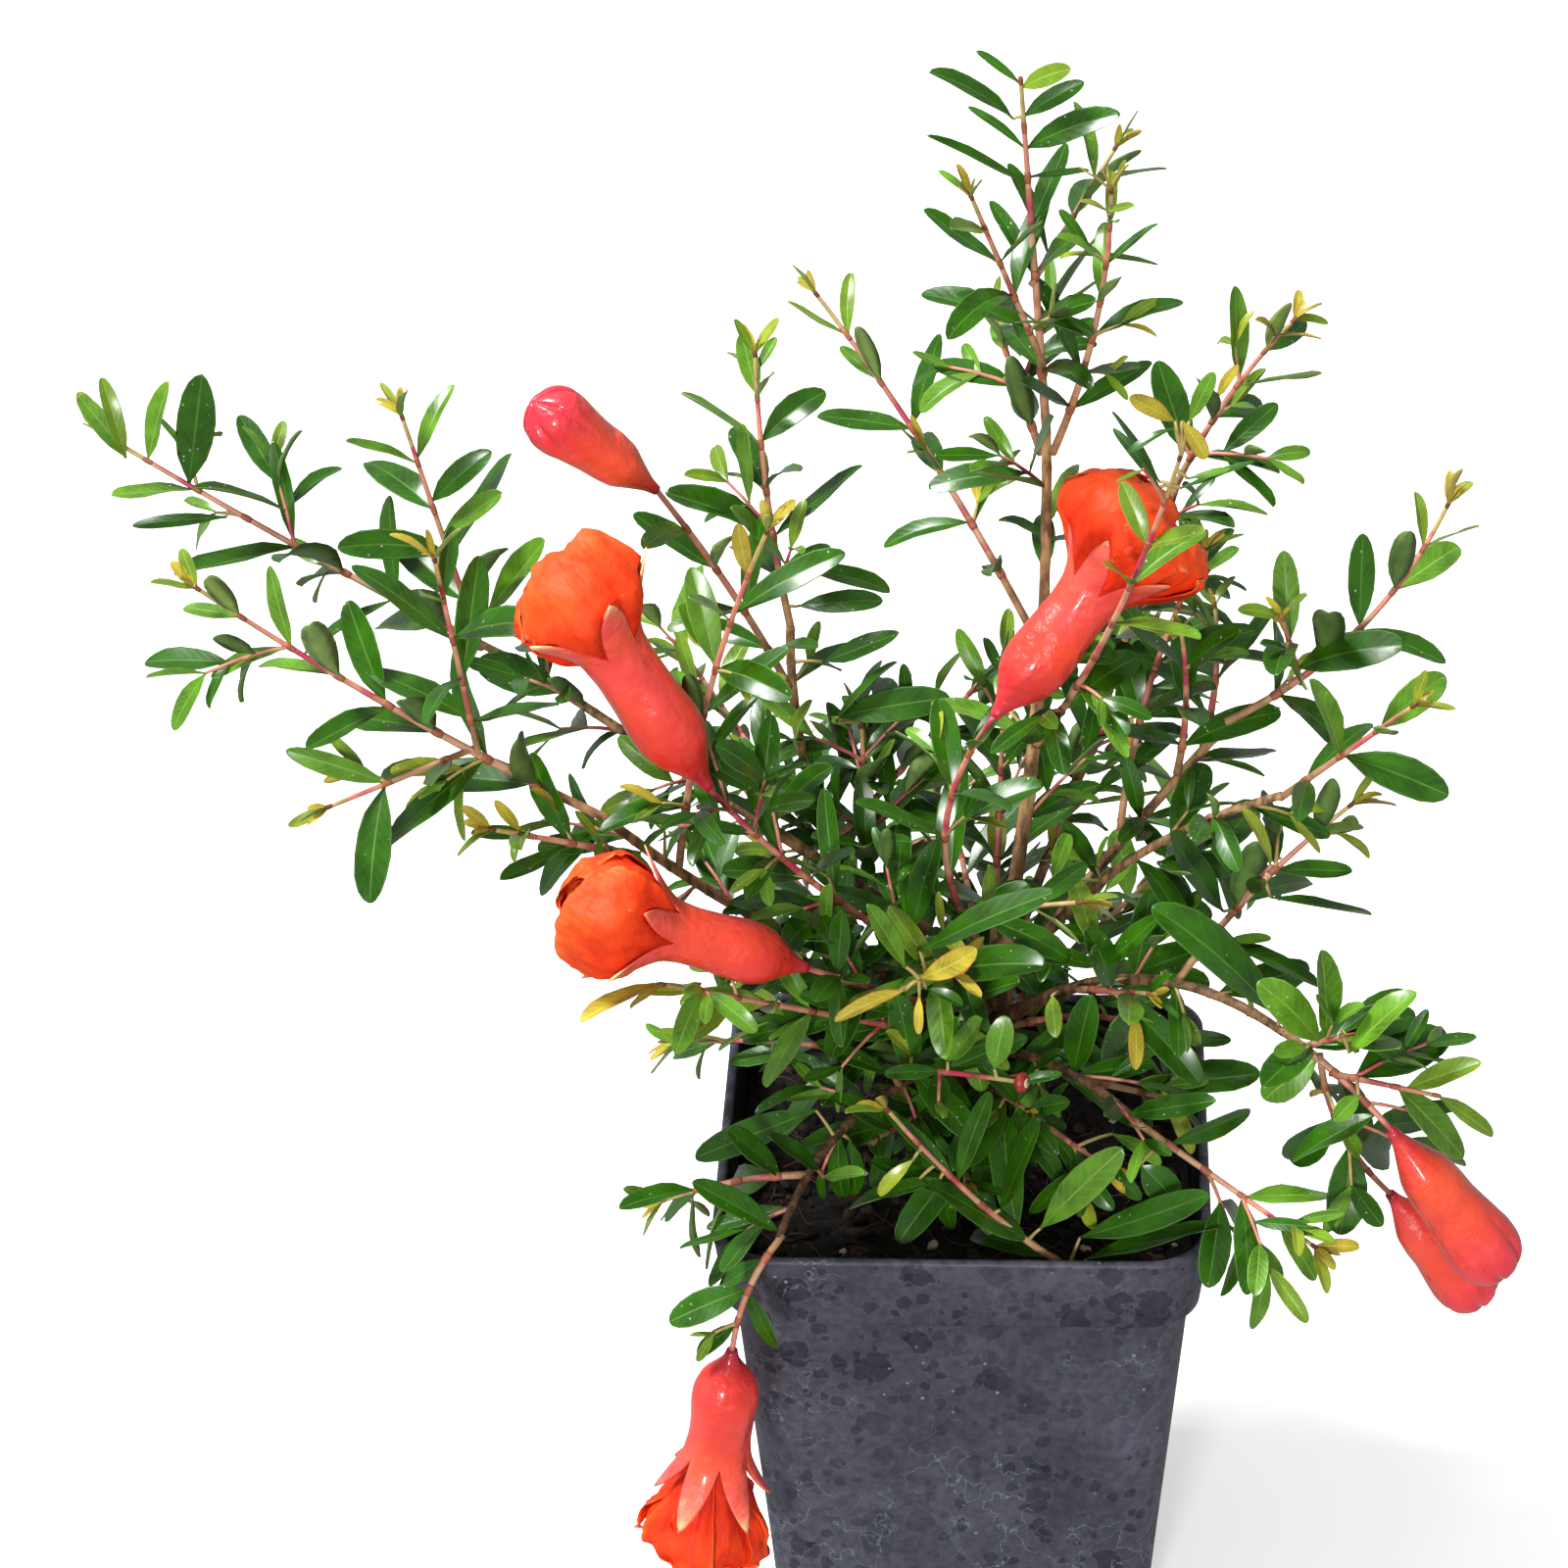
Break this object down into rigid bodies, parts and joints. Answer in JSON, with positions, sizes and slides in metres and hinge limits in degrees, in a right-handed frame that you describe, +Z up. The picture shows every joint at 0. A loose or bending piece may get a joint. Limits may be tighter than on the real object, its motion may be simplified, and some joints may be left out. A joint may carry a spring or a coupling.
{
  "type": "potted dwarf pomegranate",
  "caption": "Small flowering shrub with narrow glossy leaves, waxy red buds and crumpled orange blossom, growing in a square black nursery pot.",
  "frame": {"origin": "middle of the pot's flat underside", "axes": "+Z up, -Y towards the front of the plant, +X to the right of the front, square with the pot"},
  "size_m": [0.2219, 0.1268, 0.2527],
  "materials": {
    "pot": "satin, water spotted",
    "soil": "matt, damp and fibrous",
    "bark": "matt, finely ridged",
    "foliage": "glossy upper faces",
    "blossom": "waxy calyx, thin crumpled petals"
  },
  "bodies": {
    "root": {"pot": "pot", "soil": "soil", "trunk": "bark", "leader_bough": "bark", "right_bough": "bark", "lower_right_bough": "bark", "arching_bough": "bark", "front_right_bough": "bark", "back_right_bough": "bark", "back_left_bough": "bark", "high_left_bough": "bark", "low_left_bough": "bark", "front_left_bough": "bark", "leader_top": "foliage", "leader_right": "foliage", "leader_left": "foliage", "upper_left": "foliage", "upper_right": "foliage", "back_right": "foliage", "right_end": "foliage", "right_inner": "foliage", "right_fork_back": "foliage", "right_fork_front": "foliage", "lower_right_end": "foliage", "right_low": "foliage", "arching_end": "blossom", "front_right_end": "foliage", "front_right_side": "foliage", "right_wall": "foliage", "back_left": "foliage", "back_left_inner": "foliage", "left_bud": "blossom", "left_front": "foliage", "low_left_end": "foliage", "low_left_side": "foliage", "high_left_end": "foliage", "flower_right": "blossom", "flower_left": "blossom", "flower_front": "blossom", "flower_hanging": "blossom", "young_left": "foliage", "cut_shoot": "foliage", "front_runner": "foliage", "left_rim": "foliage", "centre_back": "foliage", "left_wall": "foliage", "front_high": "foliage", "front_young": "foliage", "front_low": "foliage", "front_middle": "foliage", "front_centre": "foliage", "centre_right": "foliage", "centre_left": "foliage", "centre_high": "foliage", "rear_left_low": "foliage", "rear_middle": "foliage", "rear_right_low": "foliage", "rear_left_high": "foliage", "rear_right_high": "foliage", "rear_drooping": "foliage"}
  },
  "joints": []
}
